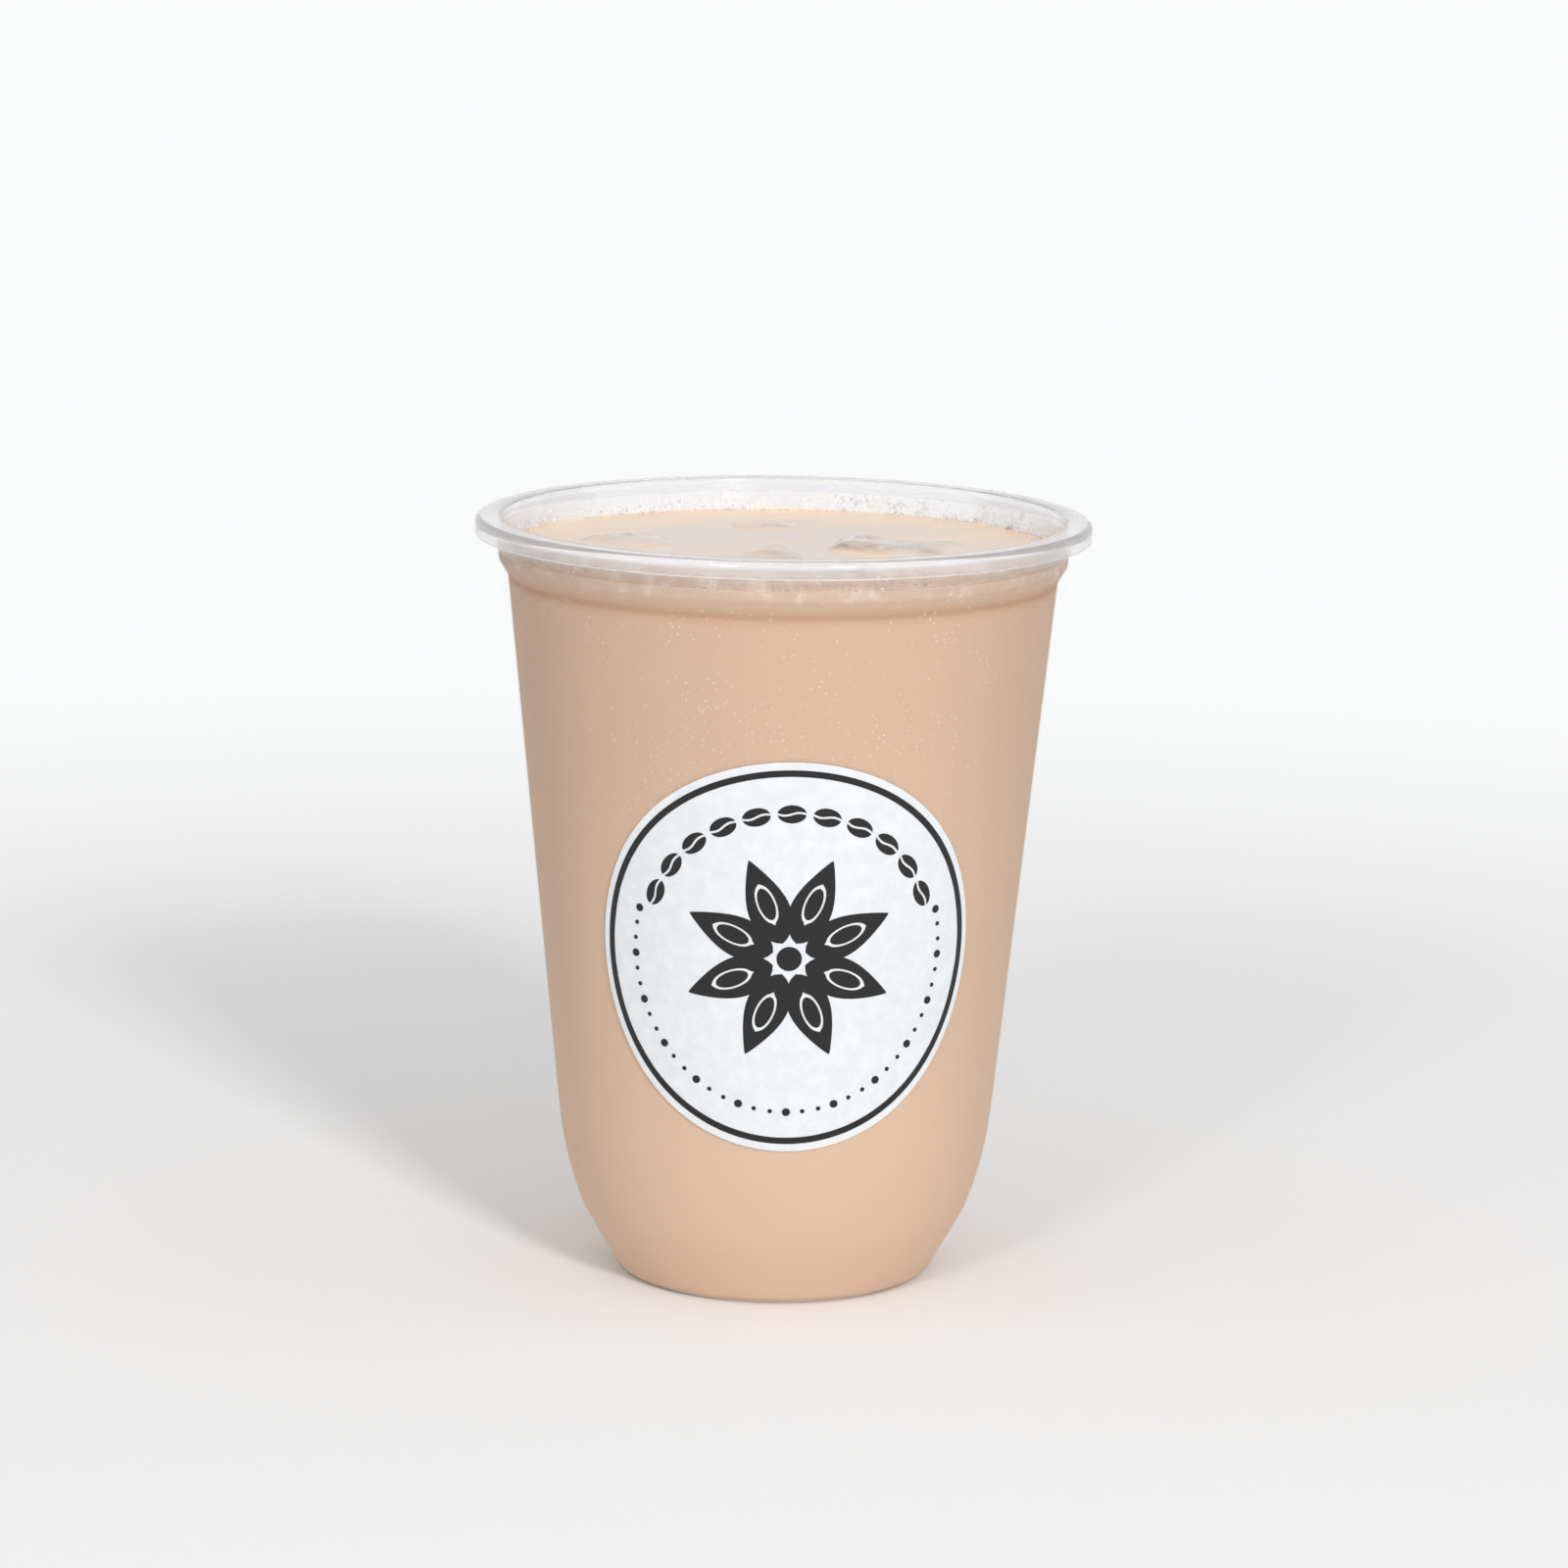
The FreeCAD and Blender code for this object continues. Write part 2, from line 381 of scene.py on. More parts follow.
# %% The lace on the neck, and some bigger bubbles against the front
# from and to which turn in degrees, how high above the level, how many
LACE = (((28, 80), 3.0, 200), ((95, 128), 1.2, 40), ((128, 172), 2.2, 60),
        ((-25, 28), 1.8, 80), ((195, 345), 2.0, 230))
LACE_SIZES = (0.12, 0.16, 0.2, 0.28)
LACE_OFF_WALL, LACE_LIFT = 0.4, 0.3
FRONT_SIZES = (0.34, 0.45, 0.58)
FRONT_OFF_WALL = 0.72
lace = []
for turns, top, count in LACE:
    for turn, height in clumps(count, 0.9, 0.35, top, turns):
        size = random.choice(LACE_SIZES)
        reach = neck_radius - size * LACE_OFF_WALL
        lace.append((reach * math.cos(turn), reach * math.sin(turn),
                     level + height + LACE_LIFT, size))
for turn, height in clumps(count=34, spread_turn=2.6, spread_height=0.35, top=0.9,
                           turns=(200, 340)):
    size = random.choice(FRONT_SIZES)
    reach = neck_radius - size * FRONT_OFF_WALL
    lace.append((reach * math.cos(turn), reach * math.sin(turn), level + height, size))
froth = ball_cloud("froth_on_wall", lace)

# %% [markdown]
# ## The film that the drink leaves
# Where the drink has washed up the neck it leaves a thin film of milk that has not run
# back yet, thick just above the drink and thinner a few millimetres higher. It could be
# painted on the cup, but then it would lie on the wall's outside as well. So it is a ring
# of its own that hugs the inside of the neck, and its finish lets it thin out.

# %% A thin ring inside the neck
FILM_TOP = 3.4
FILM_BELOW = 0.3
FILM_INTO_WALL = 0.02
FILM_THICKNESS = 0.08
FILM_ROWS = 8
film_rows = [(neck_radius + FILM_INTO_WALL, 0.0,
              level - FILM_BELOW + (FILM_TOP + FILM_BELOW) * i / FILM_ROWS)
             for i in range(FILM_ROWS + 1)]
film_rows += [(neck_radius - FILM_THICKNESS, 0.0, z) for _, _, z in reversed(film_rows)]
film = from_points("milk_film", film_rows,
                   [(i, (i + 1) % len(film_rows)) for i in range(len(film_rows))])
spin_round()
bpy.ops.object.shade_smooth_by_angle(angle=SMOOTH_UNDER)
print("film", triangles(film), "triangles")

# %% [markdown]
# ## The label's print
# The label is a flat paper disc that is rolled on to the cup's taper. Its print is drawn
# flat, as on the printer's sheet, in millimetres from the label's middle. One formula
# then rolls each point on to the cone: the taper rolls out flat into a fan, so a point's
# distance from the fan's tip is its reach, and its angle at the tip, divided by the sine
# of the taper, is how far round the cup it lies. A picture wrapped round the paper would
# blur close up. Ink is a thin layer of its own here, proud of the paper, so its edge is
# sharp however close one looks.

# %% The taper under the label, and how a flat point is rolled on to it
TAPER = math.radians(5.8)
CREASE_RADIUS, CREASE_HEIGHT = 42.5, 109.65
PAPER = 0.2
INK = 0.05
INK_UNDER = 0.02
LABEL_HEIGHT = 57.3
LABEL_TURN = math.radians(2.8)
LABEL_RADIUS = 30.6


def body_radius(height):
    """The outside of the taper at a height."""
    return CREASE_RADIUS - math.tan(TAPER) * (CREASE_HEIGHT - height)


def roll(across, up, lift):
    """A point of the flat sheet, rolled on to the label's face and lifted off it."""
    middle = body_radius(LABEL_HEIGHT) / math.sin(TAPER)
    reach = math.hypot(across, middle + up)
    azimuth = math.atan2(across, middle + up) / math.sin(TAPER) + LABEL_TURN
    height = LABEL_HEIGHT + (reach - middle) * math.cos(TAPER)
    out = body_radius(height) + (PAPER + lift) / math.cos(TAPER)
    return (out * math.sin(azimuth), -out * math.cos(azimuth), height)


print(f"the taper's radius at the label's middle is {body_radius(LABEL_HEIGHT):.1f} mm")

# %% Flat shapes


def turned(points, turn, middle=(0.0, 0.0)):
    """Flat points turned about the sheet's middle, then moved."""
    c, s = math.cos(turn), math.sin(turn)
    return [(middle[0] + x * c - y * s, middle[1] + x * s + y * c) for x, y in points]


def circle(radius, count):
    """Points round a circle about the sheet's middle."""
    return [(radius * math.cos(math.tau * i / count), radius * math.sin(math.tau * i / count))
            for i in range(count)]


def band(side_a, side_b, closed=False):
    """A strip of ink between two rows of flat points."""
    count = len(side_a)
    faces = [(i, (i + 1) % count, count + (i + 1) % count, count + i)
             for i in range(count if closed else count - 1)]
    return side_a + side_b, faces


def disc(outline_points, middle):
    """A small filled shape, as a fan about its middle."""
    count = len(outline_points)
    return [middle] + outline_points, [(0, 1 + i, 1 + (i + 1) % count) for i in range(count)]


# %% The ring round the edge, and the star anise
# Each pod of the star is a boat, from its root to its pointed tip, open round its seed.
RING_OUTER = LABEL_RADIUS - 1.2
RING_WIDTH = 1.0
RING_POINTS = 180
POD_ROOT, POD_TIP, POD_HALF = 2.6, 16.5, 3.5
SEED_AT, SEED_HALF, SEED_STRETCH = 9.2, 1.15, 2.26
OPENING_HALF, OPENING_LONG = 1.45, 3.2
PODS, POD_ROWS = 8, 32
HUB_RADIUS = 1.9
shapes = [band(circle(RING_OUTER - RING_WIDTH, RING_POINTS), circle(RING_OUTER, RING_POINTS),
               closed=True)]
pod_out, pod_in = [], []
for i in range(POD_ROWS + 1):
    part = i / POD_ROWS
    along = POD_ROOT + (POD_TIP - POD_ROOT) * part
    half = POD_HALF * math.sin(math.pi * part ** 0.8) ** 0.85 * (1 - 0.25 * part)
    opening = OPENING_HALF * math.sqrt(max(0.0, 1 - ((along - SEED_AT) / OPENING_LONG) ** 2))
    pod_out.append((along, half))
    pod_in.append((along, min(opening, half)))
seed = [(SEED_AT + SEED_STRETCH * x, y) for x, y in circle(SEED_HALF, 24)]
for i in range(PODS):
    turn = math.tau * (i + 0.5) / PODS
    for side in (1, -1):
        shapes.append(band(turned([(x, y * side) for x, y in pod_in], turn),
                           turned([(x, y * side) for x, y in pod_out], turn)))
    shapes.append(disc(turned(seed, turn), turned([(SEED_AT, 0.0)], turn)[0]))
shapes.append(disc(circle(HUB_RADIUS, 32), (0.0, 0.0)))
print(PODS, "pods in", len(shapes), "shapes")

# %% The coffee beans and the dots
# A bean is two halves either side of a split that bends like an S.
BEANS, BEAN_REACH, BEAN_SPACING = 11, 22.6, 13.5
BEAN_LONG, BEAN_WIDE, SPLIT, SPLIT_BEND, BEAN_ROWS = 2.15, 1.4, 0.18, 0.22, 16
DOTS, DOT_REACH, DOT_SPACING = 37, 24.3, 5.75
SMALL_DOT, BIG_DOT = 0.34, 0.62
for i in range(BEANS):
    turn = math.radians(90 + (i - BEANS // 2) * BEAN_SPACING)
    middle = (BEAN_REACH * math.cos(turn), BEAN_REACH * math.sin(turn))
    for side in (1, -1):
        inner, outer = [], []
        for j in range(BEAN_ROWS + 1):
            x = -math.cos(math.pi * j / BEAN_ROWS)
            rise = BEAN_WIDE * math.sqrt(max(0.0, 1 - x * x))
            bend = SPLIT_BEND * math.sin(math.pi * x)
            outer.append((BEAN_LONG * x, side * max(rise, SPLIT + side * bend)))
            inner.append((BEAN_LONG * x, side * SPLIT + bend))
        shapes.append(band(turned(inner, turn + math.radians(90), middle),
                           turned(outer, turn + math.radians(90), middle)))
for i in range(DOTS):
    turn = math.radians(-90 + (i - DOTS // 2) * DOT_SPACING)
    middle = (DOT_REACH * math.cos(turn), DOT_REACH * math.sin(turn))
    dot = circle(SMALL_DOT if i % 3 else BIG_DOT, 16)
    shapes.append(disc(turned(dot, 0.0, middle), middle))
print(BEANS, "beans and", DOTS, "dots")

# %% All of it as one layer of ink
# A face whose flat corners run clockwise would point into the cup, so it is turned over.
points, faces = [], []
for shape_points, shape_faces in shapes:
    first = len(points)
    points += [roll(x, y, -INK_UNDER) for x, y in shape_points]
    for face in shape_faces:
        corners = [shape_points[i] for i in face]
        area = sum(a[0] * b[1] - b[0] * a[1]
                   for a, b in zip(corners, corners[1:] + corners[:1]))
        faces.append([first + i for i in (face if area > 0 else face[::-1])])
ink = from_points("label_print", points, [], faces)
bpy.ops.object.mode_set(mode="EDIT")
bpy.ops.mesh.select_all(action="SELECT")
bpy.ops.mesh.remove_doubles(threshold=SAME_POINT * MM)
bpy.ops.object.mode_set(mode="OBJECT")
thick = ink.modifiers.new("ink", "SOLIDIFY")
thick.thickness = (INK + INK_UNDER) * MM
thick.offset = 1.0
bpy.ops.object.modifier_apply(modifier=thick.name)
print("label_print", triangles(ink), "triangles")

# %% [markdown]
# ## Finishes
# Each finish starts from what the real material is and how its surface was made. A pattern's
# size is given in millimetres, from one fleck to the next, and one function turns it into a
# texture's scale. A colour ramp is needed often enough to have a helper of its own.

# %% Helpers for patterns


def every(spacing):
    """A texture's scale for a pattern that repeats every so many millimetres."""
    return 1 / (spacing * MM)


def ramp(tree, fac, stops):
    """A colour ramp from (position, swatch) stops."""
    made = node(tree, "ValToRGB", {0: fac})
    marks = made.color_ramp.elements
    while len(marks) < len(stops):
        marks.new(1.0)
    for mark, (position, swatch) in zip(marks, stops):
        mark.position = position
        mark.color = linear(swatch)
    return made.outputs["Color"]


def above(height):
    """A height above the drink's level, in metres from the table."""
    return (level + height) * MM


# %% [markdown]
# ### The drink
# Milk with tea and coffee is opaque and evenly coloured, and scatters light so well that it
# looks matt through its cup. Its colour is painted a little paler towards the bottom, as
# painted fill light where the lamps light the lower wall less, and darker in the cup's
# crease, as painted shade. Just under its level there is a band of foam. Its open top is
# wet and glossy, greyer in the middle, and warmer and paler at the rim.

# %% The tones of milk tea and coffee, an opaque liquid, skinned over with fine foam
RIM_FROM, RIM_TO, RIM_UNEVEN = 22, 38, 7
PALE_BELOW, BROWN_ABOVE, DRIFT = 12, 92, 9
CREASE_SOFT = 1.75
FIZZ_FROM, FIZZ_TO = 20, 111


def foam_tone(tree, place):
    """Beige milk with whitish patches of fine froth, a millimetre or two across."""
    cloud = node(tree, "TexNoise", {"Vector": place, "Scale": every(3.03), "Detail": 4.0,
                                    "Roughness": 0.62}).outputs["Fac"]
    return ramp(tree, cloud, ((0.4, "#c8ae99"), (0.54, "#cfb6a2"), (0.7, "#e4d5c8")))


def skin_tone(tree, place, reach):
    """The colour of the open top, from the middle out to the rim, with an uneven edge."""
    mottle = node(tree, "TexNoise", {"Vector": place, "Scale": every(9.09), "Detail": 5.0,
                                     "Roughness": 0.62}).outputs["Fac"]
    uneven = node(tree, "MapRange", {0: mottle, 1: 0.3, 2: 0.7, 3: -RIM_UNEVEN * MM,
                                     4: RIM_UNEVEN * MM})
    rim = node(tree, "Math", {0: reach, 1: uneven.outputs[0]}, operation="ADD").outputs[0]
    rim = node(tree, "MapRange", {0: rim, 1: RIM_FROM * MM, 2: RIM_TO * MM}).outputs[0]
    return ramp(tree, rim, ((0.0, "#efdfd4"), (0.4, "#f4e1d0"), (1.0, "#ffe6cd")))


def body_tone(tree, place, high):
    """Behind the wall: painted fill light below, painted shade in the crease, foam at the
    level.
    """
    # Painted fill light: the drink is painted paler towards the bottom, where the lamps light
    # the wall less.
    swirl = node(tree, "TexNoise", {"Vector": place, "Scale": every(45.45), "Detail": 2.0})
    drift = node(tree, "MapRange", {0: swirl.outputs["Fac"], 3: -DRIFT * MM, 4: DRIFT * MM})
    uneven_height = node(tree, "Math", {0: high, 1: drift.outputs[0]}, operation="ADD")
    depth = node(tree, "MapRange", {0: uneven_height.outputs[0], 1: PALE_BELOW * MM,
                                    2: BROWN_ABOVE * MM}).outputs[0]
    body = ramp(tree, depth, ((0.0, "#e2c1a5"), (1.0, "#d4b398")))
    # Painted shade: a darker band along the cup's crease.
    crease = node(tree, "MapRange", {0: high, 1: (CREASE_HEIGHT - CREASE_SOFT) * MM,
                                     2: (CREASE_HEIGHT + CREASE_SOFT) * MM}).outputs[0]
    crease = ramp(tree, crease, ((0.0, "#ffffff"), (0.28, "#f6efe8"), (0.48, "#e6d4c8"),
                                 (0.62, "#f3e9e0"), (1.0, "#ffffff")))
    body = node(tree, "MixRGB", {0: 1.0, 1: body, 2: crease}, blend_type="MULTIPLY").outputs[0]
    foam = node(tree, "MapRange", {0: high, 1: above(-2.6), 2: above(-0.4), 3: 0.0, 4: 0.9})
    return node(tree, "MixRGB", {0: foam.outputs[0], 1: body,
                                 2: foam_tone(tree, place)}).outputs[0]


def fizz(tree, place, high):
    """Where a fine bubble sits against the wall: in loose patches, more of them higher up."""
    dots = node(tree, "TexVoronoi", {"Vector": place, "Scale": every(1.0)})
    dot = node(tree, "MapRange", {0: dots.outputs["Distance"], 1: 0.1, 2: 0.28, 3: 1.0, 4: 0.0})
    patch = node(tree, "TexNoise", {"Vector": place, "Scale": every(4.167), "Detail": 3.0})
    patch = node(tree, "MapRange", {0: patch.outputs["Fac"], 1: 0.38, 2: 0.62, 3: 0.0, 4: 0.5})
    more = node(tree, "MapRange", {0: high, 1: FIZZ_FROM * MM, 2: FIZZ_TO * MM, 3: 0.25,
                                   4: 1.0})
    some = node(tree, "Math", {0: dot.outputs[0], 1: patch.outputs[0]}, operation="MULTIPLY")
    return node(tree, "Math", {0: some.outputs[0], 1: more.outputs[0]},
                operation="MULTIPLY").outputs[0]


# %% Milk tea and coffee, put together from those tones


def milk_tea():
    """The whole drink: which face is its open top is told by height and by normal."""
    made, tree = empty_material("milk_tea_and_coffee")
    place = node(tree, "TexCoord").outputs["Object"]
    axes = node(tree, "SeparateXYZ", {0: place})
    high = axes.outputs["Z"]
    flat = node(tree, "CombineXYZ", {0: axes.outputs["X"], 1: axes.outputs["Y"]})
    reach = node(tree, "VectorMath", {0: flat.outputs[0]}, operation="LENGTH").outputs["Value"]
    normal = node(tree, "NewGeometry").outputs["Normal"]
    upwards = node(tree, "SeparateXYZ", {0: normal}).outputs["Z"]
    upwards = node(tree, "MapRange", {0: upwards, 1: 0.5, 2: 0.9}).outputs[0]
    top = node(tree, "MapRange", {0: high, 1: above(-0.45), 2: above(-0.15),
                                  4: upwards}).outputs[0]
    body = node(tree, "MixRGB", {0: fizz(tree, place, high), 1: body_tone(tree, place, high),
                                 2: linear("#f6e4d4")}).outputs[0]
    colour = node(tree, "MixRGB", {0: top, 1: body, 2: skin_tone(tree, place, reach)})
    grain = node(tree, "TexNoise", {"Vector": place, "Scale": every(0.625), "Detail": 2.0})
    bump = node(tree, "Bump", {"Height": grain.outputs["Fac"], "Strength": 0.15,
                               "Distance": 0.05 * MM})
    matt_to_wet = node(tree, "MapRange", {0: top, 3: 1.0, 4: 0.3})
    surface = node(tree, "BsdfPrincipled", {
        "Base Color": colour.outputs[0], "Roughness": matt_to_wet.outputs[0], "IOR": 1.33,
        "Normal": bump.outputs["Normal"],
    })
    node(tree, "OutputMaterial", {"Surface": surface.outputs["BSDF"]})
    return made


# %% [markdown]
# ### The cup
# The cup is clear polypropylene, moulded in one shot. Its lip and neck are polished and bend
# light, so they are real glass to the renderer. Below the drink's level the wall has a satin
# face with the drink right behind it. Bent light there only costs time and turns the drink
# too warm, so that part is a see-through film with a little haze and a soft shine. A clear
# surface casts no solid shadow: a lamp's ray goes straight through and is only tinted.

# %% Clear polypropylene: a mould with a satin wall and a polished lip
SHADOW_OF_CUP = "#e9e9e9"
SHADOW_OF_ICE = "#e4dcd4"


def lets_lamps_through(tree, surface, tint):
    """A clear surface that only tints the light of the lamps on its way through."""
    see = node(tree, "BsdfTransparent", {"Color": linear(tint)})
    path = node(tree, "LightPath")
    return node(tree, "MixShader", {0: path.outputs["Is Shadow Ray"], 1: surface,
                                    2: see.outputs["BSDF"]}).outputs["Shader"]


def satin_wall(tree, place):
    """The wall with drink behind it: a see-through film, a little haze and a soft shine."""
    grain = node(tree, "TexNoise", {"Vector": place, "Scale": every(0.4545), "Detail": 2.0})
    bump = node(tree, "Bump", {"Height": grain.outputs["Fac"], "Strength": 0.12,
                               "Distance": 0.05 * MM}).outputs["Normal"]
    see = node(tree, "BsdfTransparent", {"Color": linear("#ffffff")})
    haze = node(tree, "BsdfDiffuse", {"Color": linear("#f4f4f6"), "Normal": bump})
    hazy = node(tree, "MixShader", {0: 0.05, 1: see.outputs[0], 2: haze.outputs[0]})
    shine = node(tree, "BsdfGlossy", {"Color": linear("#ffffff"), "Roughness": 0.5,
                                      "Normal": bump})
    glance = node(tree, "Fresnel", {"IOR": 1.49, "Normal": bump})
    part = node(tree, "MapRange", {0: glance.outputs[0], 1: 0.04, 2: 0.5, 3: 0.02, 4: 0.1})
    return node(tree, "MixShader", {0: part.outputs[0], 1: hazy.outputs[0],
                                    2: shine.outputs[0]}).outputs[0]


def polished_lip(tree):
    """The lip and neck: glass, with a part let straight through, as thin plastic does."""
    clear = node(tree, "BsdfPrincipled", {
        "Base Color": linear("#fdfdfe"), "Roughness": 0.06, "IOR": 1.49,
        "Transmission Weight": 0.96,
    })
    straight = node(tree, "BsdfTransparent", {"Color": linear("#f4f5f8")})
    return node(tree, "MixShader", {0: 0.14, 1: clear.outputs[0],
                                    2: straight.outputs[0]}).outputs[0]


def clear_polypropylene():
    """The whole cup: satin up to the drink's level, polished above it."""
    made, tree = empty_material("clear_polypropylene_moulded")
    place = node(tree, "TexCoord").outputs["Object"]
    high = node(tree, "SeparateXYZ", {0: place}).outputs["Z"]
    glass = lets_lamps_through(tree, polished_lip(tree), SHADOW_OF_CUP)
    neck = node(tree, "MapRange", {0: high, 1: above(0.1), 2: above(1.2)})
    both = node(tree, "MixShader", {0: neck.outputs[0], 1: satin_wall(tree, place), 2: glass})
    node(tree, "OutputMaterial", {"Surface": both.outputs[0]})
    return made


# %% [markdown]
# ### The ice
# Ice from a machine is cloudy in its middle and clear in patches, and its melting face is
# wet and dimpled. Where it is clear the drink shows through, and there the ice is painted
# dark brown as painted shade of the hollow under it. Milk creeps up its sides, so a cube is
# the skin's own colour at its foot.

# %% Melting ice: cloudy, wet, with milk on its sides


def melting_ice():
    """Cloudy wet ice, clear in patches painted brown as shade, and milky at its foot."""
    made, tree = empty_material("melting_ice")
    place = node(tree, "TexCoord").outputs["Object"]
    high = node(tree, "SeparateXYZ", {0: place}).outputs["Z"]
    cloud = node(tree, "TexNoise", {"Vector": place, "Scale": every(7.69), "Detail": 4.0,
                                    "Roughness": 0.6}).outputs["Fac"]
    # Painted shade: where the ice is clear its colour is dark brown, for the shaded hollow
    # under it.
    tone = ramp(tree, cloud, ((0.28, "#a5866e"), (0.4, "#d8c4b4"), (0.52, "#e8d8cc"),
                              (0.7, "#f0e6df")))
    creeps = node(tree, "MapRange", {0: cloud, 1: 0.3, 2: 0.7, 3: -0.35 * MM, 4: 0.35 * MM})
    creeps = node(tree, "Math", {0: high, 1: creeps.outputs[0]}, operation="ADD")
    dry = node(tree, "MapRange", {0: creeps.outputs[0], 1: above(0.1),
                                  2: above(0.75)}).outputs[0]
    tone = node(tree, "MixRGB", {0: dry, 1: linear("#f0d6bf"), 2: tone}).outputs[0]
    clear = node(tree, "MapRange", {0: cloud, 1: 0.34, 2: 0.56, 3: 0.45, 4: 0.1})
    through = node(tree, "Math", {0: clear.outputs[0], 1: dry}, operation="MULTIPLY")
    dent = node(tree, "TexNoise", {"Vector": place, "Scale": every(3.333), "Detail": 2.0})
    bump = node(tree, "Bump", {"Height": dent.outputs["Fac"], "Strength": 0.35,
                               "Distance": 0.2 * MM})
    wet = node(tree, "BsdfPrincipled", {
        "Base Color": tone, "Roughness": 0.08, "IOR": 1.31,
        "Transmission Weight": through.outputs[0], "Normal": bump.outputs["Normal"],
    })
    node(tree, "OutputMaterial", {
        "Surface": lets_lamps_through(tree, wet.outputs["BSDF"], SHADOW_OF_ICE)})
    return made


# %% [markdown]
# ### Froth and the film of milk
# A bubble is a skin of milk round air, so it scatters light to both sides and shows some of
# what is behind it. The film on the neck is beige and nearly solid where it meets the drink
# at the front, streaked because it runs down, and frosty white at the back.

# %% Froth: milk skins round air


def milk_froth(name, swatch, cover):
    """Tiny bubbles: they scatter light to both sides, with gaps that show what is behind."""
    made, tree = empty_material(name)
    place = node(tree, "TexCoord").outputs["Object"]
    tint = node(tree, "TexNoise", {"Vector": place, "Scale": every(1.111)})
    there = node(tree, "MapRange", {0: tint.outputs["Fac"], 1: 0.3, 2: 0.7, 3: cover - 0.2,
                                    4: cover + 0.2})
    see = node(tree, "BsdfTransparent")
    skin = node(tree, "BsdfPrincipled", {
        "Base Color": linear(swatch), "Roughness": 0.5, "IOR": 1.33,
    })
    glow = node(tree, "BsdfTranslucent", {"Color": linear(swatch)})
    soft = node(tree, "MixShader", {0: 0.5, 1: skin.outputs[0], 2: glow.outputs[0]})
    mix = node(tree, "MixShader", {0: there.outputs[0], 1: see.outputs[0], 2: soft.outputs[0]})
    node(tree, "OutputMaterial", {"Surface": mix.outputs[0]})
    return made


# %% Film of milk: still wet, and thinner with height


def thin_milk():
    """The film on the neck: thick just above the drink, thin and streaky higher up."""
    made, tree = empty_material("thin_milk_film")
    place = node(tree, "TexCoord").outputs["Object"]
    axes = node(tree, "SeparateXYZ", {0: place})
    streaks = node(tree, "Mapping", {"Vector": place, "Scale": (1.0, 1.0, 0.35)})
    streak = node(tree, "TexNoise", {"Vector": streaks.outputs[0], "Scale": every(6.667),
                                     "Detail": 4.0, "Roughness": 0.6}).outputs["Fac"]
    jitter = node(tree, "MapRange", {0: streak, 1: 0.3, 2: 0.7, 3: -0.7 * MM, 4: 0.7 * MM})
    height = node(tree, "Math", {0: axes.outputs["Z"], 1: jitter.outputs[0]},
                  operation="ADD").outputs[0]
    low = node(tree, "MapRange", {0: height, 1: above(0.2), 2: above(3.2), 3: 1.0,
                                  4: 0.25}).outputs[0]
    front = node(tree, "MapRange", {0: axes.outputs["Y"], 1: -43 * MM, 2: 30 * MM,
                                    3: 1.0, 4: 0.15}).outputs[0]
    solid = node(tree, "Math", {0: low, 1: front}, operation="MULTIPLY").outputs[0]
    back = node(tree, "MapRange", {0: axes.outputs["Y"], 1: 0.0, 2: 22 * MM}).outputs[0]
    frost = node(tree, "MapRange", {0: streak, 1: 0.42, 2: 0.6, 4: 0.75}).outputs[0]
    frost = node(tree, "Math", {0: low, 1: frost}, operation="MULTIPLY").outputs[0]
    frost = node(tree, "Math", {0: back, 1: frost}, operation="MULTIPLY").outputs[0]
    there = node(tree, "Math", {0: solid, 1: frost}, operation="MAXIMUM").outputs[0]
    tone = node(tree, "MixRGB", {0: back, 1: foam_tone(tree, place), 2: linear("#fdfaf7")})
    see = node(tree, "BsdfTransparent")
    surface = node(tree, "BsdfPrincipled", {
        "Base Color": tone.outputs[0], "Roughness": 0.4, "IOR": 1.33,
    })
    mix = node(tree, "MixShader", {0: there, 1: see.outputs[0], 2: surface.outputs[0]})
    node(tree, "OutputMaterial", {"Surface": mix.outputs[0]})
    return made


# %% [markdown]
# ### The label
# The label is coated paper, pressed from fibre and calendered smooth, so it is a cool white
# with a faint cloud in it and a low sheen. Its print is black ink, a little glossier in some
# spots than in others where the paper drank less of it.

# %% Coated paper


def label_paper():
    """Cool white coated paper, with a faint cloud of fibre."""
    made, tree = empty_material("coated_label_paper")
    place = node(tree, "TexCoord").outputs["Object"]
    fibre = node(tree, "TexNoise", {"Vector": place, "Scale": every(2.381), "Detail": 5.0,
                                    "Roughness": 0.65}).outputs["Fac"]
    bump = node(tree, "Bump", {"Height": fibre, "Strength": 0.1, "Distance": 0.05 * MM})
    surface = node(tree, "BsdfPrincipled", {
        "Base Color": ramp(tree, fibre, ((0.3, "#e2e6ea"), (0.7, "#eef0f2"))),
        "Roughness": 0.42, "IOR": 1.5, "Normal": bump.outputs["Normal"],
    })
    node(tree, "OutputMaterial", {"Surface": surface.outputs["BSDF"]})
    return made


# %% Printed ink


def black_ink():
    """Black printing ink, unevenly glossy."""
    made, tree = empty_material("printed_ink")
    place = node(tree, "TexCoord").outputs["Object"]
    speck = node(tree, "TexNoise", {"Vector": place, "Scale": every(0.7143), "Detail": 2.0})
    rough = node(tree, "MapRange", {0: speck.outputs["Fac"], 3: 0.38, 4: 0.55})
    surface = node(tree, "BsdfPrincipled", {
        "Base Color": linear("#0d0d0e"), "Roughness": rough.outputs[0], "IOR": 1.5,
    })
    node(tree, "OutputMaterial", {"Surface": surface.outputs["BSDF"]})
    return made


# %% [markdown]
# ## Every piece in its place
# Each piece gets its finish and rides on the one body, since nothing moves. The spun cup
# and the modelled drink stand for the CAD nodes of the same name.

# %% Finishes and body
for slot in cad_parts["label"].material_slots:
    slot.material = label_paper()
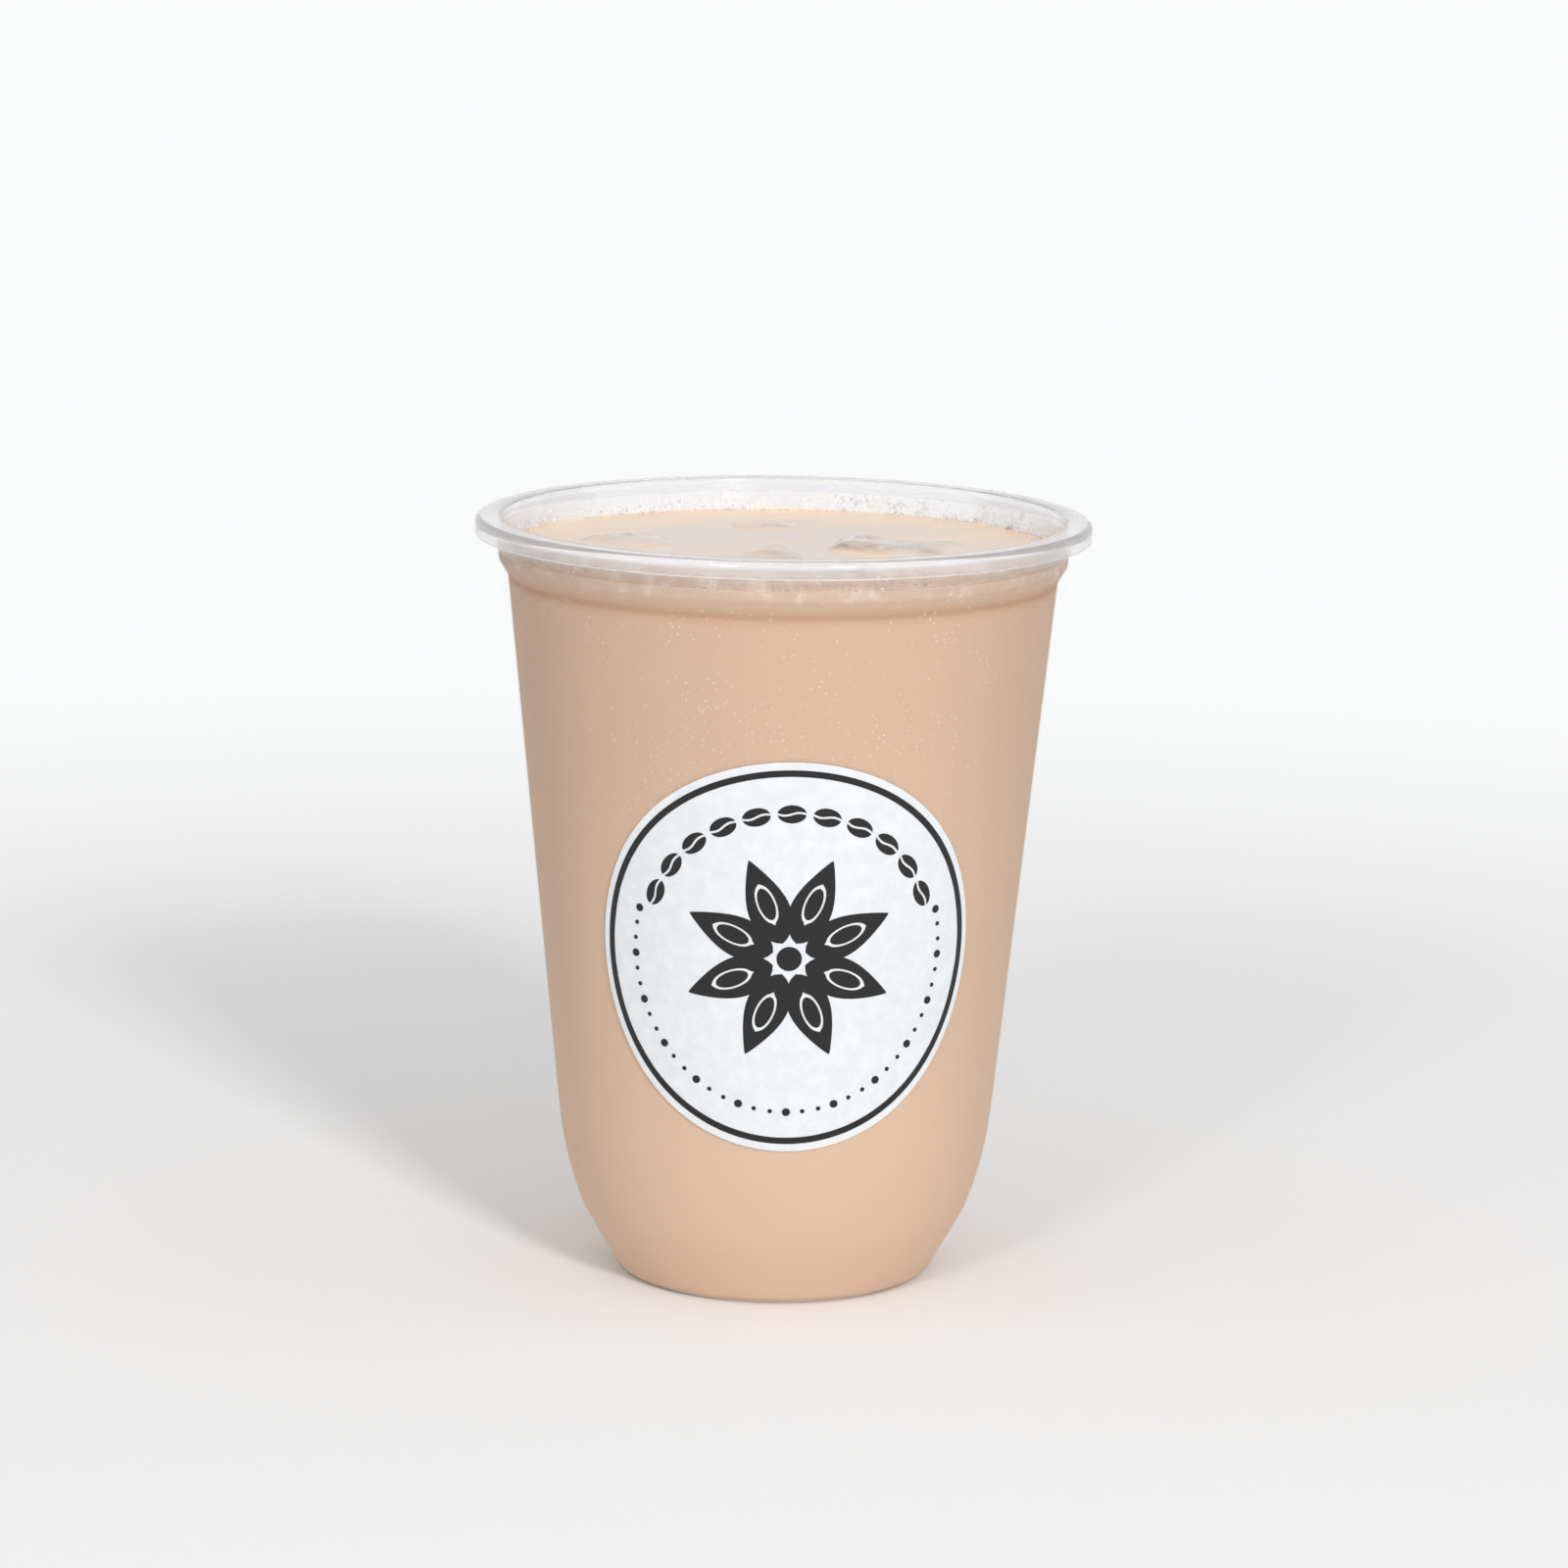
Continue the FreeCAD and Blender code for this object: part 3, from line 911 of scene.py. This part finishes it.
finishes = (
    (cup, clear_polypropylene(), "cup_plastic"),
    (drink, milk_tea(), "drink"),
    (ice, melting_ice(), "ice"),
    (bubbles, milk_froth("milk_bubbles", "#fff2e6", 0.45), "foam"),
    (froth, milk_froth("milk_froth", "#ffffff", 0.42), "foam"),
    (film, thin_milk(), "foam"),
    (ink, black_ink(), "label_ink"),
)
for piece, finish, slot in finishes:
    piece.data.materials.clear()
    piece.data.materials.append(finish)
    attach(piece, "root")
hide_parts("cup")
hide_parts("drink")
print(len(finishes), "pieces finished")

# %% [markdown]
# ## Studio
# The cup stands on a pale floor between two soft lamps, either side of the camera, under an
# even sky. White surroundings are shown only to rays that come straight from the camera, or
# through clear things and off shiny ones, so that the white doesn't light the drink.

# %% Camera
LENS, SENSOR = 132.1, 36.0
CAMERA_AT = Vector((0.65, -877.1, 244.1))
LOOKS_DOWN, LEANS = math.radians(10.8), math.radians(0.89)
camera_data = bpy.data.cameras.new("camera")
camera_data.lens = LENS
camera_data.sensor_width = SENSOR
camera = bpy.data.objects.new("camera", camera_data)
bpy.context.scene.collection.objects.link(camera)
camera.matrix_world = (Matrix.Translation(CAMERA_AT * MM)
                       @ Matrix.Rotation(math.radians(90) - LOOKS_DOWN, 4, "X")
                       @ Matrix.Rotation(LEANS, 4, "Z"))
bpy.context.scene.camera = camera

# %% [markdown]
# ### Floor
# The paper sweep in a studio is white and matt, and has no edge. Here a wide matt plane
# keeps the cup's shadow near it, and further out fades to an even white that is only shown
# and gives no light.

# %% Which rays are shown the white surroundings


def seen_directly(tree):
    """1 for a ray from the camera, or one that clear or shiny things send on, else 0."""
    path = node(tree, "LightPath")
    clear = node(tree, "Math", {0: path.outputs["Is Camera Ray"],
                                1: path.outputs["Is Transmission Ray"]}, operation="MAXIMUM")
    either = node(tree, "Math", {0: clear.outputs[0], 1: path.outputs["Is Glossy Ray"]},
                  operation="MAXIMUM")
    no_light = node(tree, "Math", {0: path.outputs["Diffuse Depth"], 1: 0.5},
                    operation="LESS_THAN")
    return node(tree, "Math", {0: either.outputs[0], 1: no_light.outputs[0]},
                operation="MULTIPLY").outputs[0]


# %% Floor: matt paint that keeps the shadow near the cup and fades to white further out
FLOOR_SIZE = 12.0
FADE_FROM, FADE_TO = 140, 550
deselect()
bpy.ops.mesh.primitive_plane_add(size=FLOOR_SIZE)
floor = bpy.context.object
floor.name = "floor"
made, tree = empty_material("floor_paint")
place = node(tree, "NewGeometry").outputs["Position"]
reach = node(tree, "VectorMath", {0: place}, operation="LENGTH")
far = node(tree, "MapRange", {0: reach.outputs["Value"], 1: FADE_FROM * MM, 2: FADE_TO * MM},
           interpolation_type="SMOOTHSTEP")
paint = node(tree, "BsdfDiffuse", {"Color": linear("#f8f8f8")})
bright = node(tree, "BsdfDiffuse", {"Color": linear("#ffffff")})
white = node(tree, "Emission", {"Color": linear("#f9fafb"), "Strength": 1.0})
shown = node(tree, "MixShader", {0: far.outputs[0], 1: bright.outputs[0], 2: white.outputs[0]})
mix = node(tree, "MixShader", {0: seen_directly(tree), 1: paint.outputs[0],
                               2: shown.outputs[0]})
node(tree, "OutputMaterial", {"Surface": mix.outputs[0]})
floor.data.materials.append(made)

# %% [markdown]
# ### Lamps and sky
# Two square lamps stand for softboxes. They cast the two shadows behind the cup, and the
# right lamp is the stronger, so the left shadow is the darker. The lamps are left out of
# what clear plastic shows, because they already light the drink through it. The sky fills
# the shadows.

# %% Lamps
LAMP_AIM = Vector((0, 0, 60)) * MM
LAMP_DISTANCE, LAMP_SIZE = 2.4, 0.36
LAMP_ASIDE, LAMP_UP = 22.4, 26


def lamp(name, azimuth, power):
    """A square soft lamp that looks at the cup, azimuth from the camera's side."""
    data = bpy.data.lights.new(name, "AREA")
    data.shape = "SQUARE"
    data.size = LAMP_SIZE
    data.energy = power
    made = bpy.data.objects.new(name, data)
    bpy.context.scene.collection.objects.link(made)
    a, e = math.radians(azimuth), math.radians(LAMP_UP)
    way = Vector((math.sin(a) * math.cos(e), -math.cos(a) * math.cos(e), math.sin(e)))
    made.location = LAMP_AIM + way * LAMP_DISTANCE
    made.rotation_euler = (-way).to_track_quat("-Z", "Y").to_euler()
    made.visible_transmission = False


lamp("lamp_left", -LAMP_ASIDE, 8.5)
lamp("lamp_right", LAMP_ASIDE, 25)

# %% Sky: brighter overhead, and darker behind the camera, which draws the lip's lines
world = bpy.data.worlds.new("studio")
bpy.context.scene.world = world
world.use_nodes = True
tree = world.node_tree
tree.nodes.clear()
way = node(tree, "SeparateXYZ", {0: node(tree, "TexCoord").outputs["Generated"]})
steep = node(tree, "Math", {0: way.outputs["Z"], 1: way.outputs["Z"]}, operation="MULTIPLY")
light = node(tree, "MapRange", {0: steep.outputs[0], 3: 0.3, 4: 0.85})
behind = node(tree, "MapRange", {0: way.outputs["Y"], 1: -0.95, 2: -0.72, 3: 0.3, 4: 0.95})
straight = node(tree, "LightPath").outputs["Is Camera Ray"]
shown = node(tree, "MixRGB", {0: straight, 1: behind.outputs[0], 2: (0.95, 0.95, 0.95, 1.0)})
strength = node(tree, "MixRGB", {0: seen_directly(tree), 1: light.outputs[0],
                                 2: shown.outputs[0]})
sky = node(tree, "Background", {"Color": strength.outputs[0], "Strength": 1.0})
node(tree, "OutputWorld", {"Surface": sky.outputs[0]})
bpy.context.scene.view_settings.view_transform = "Standard"
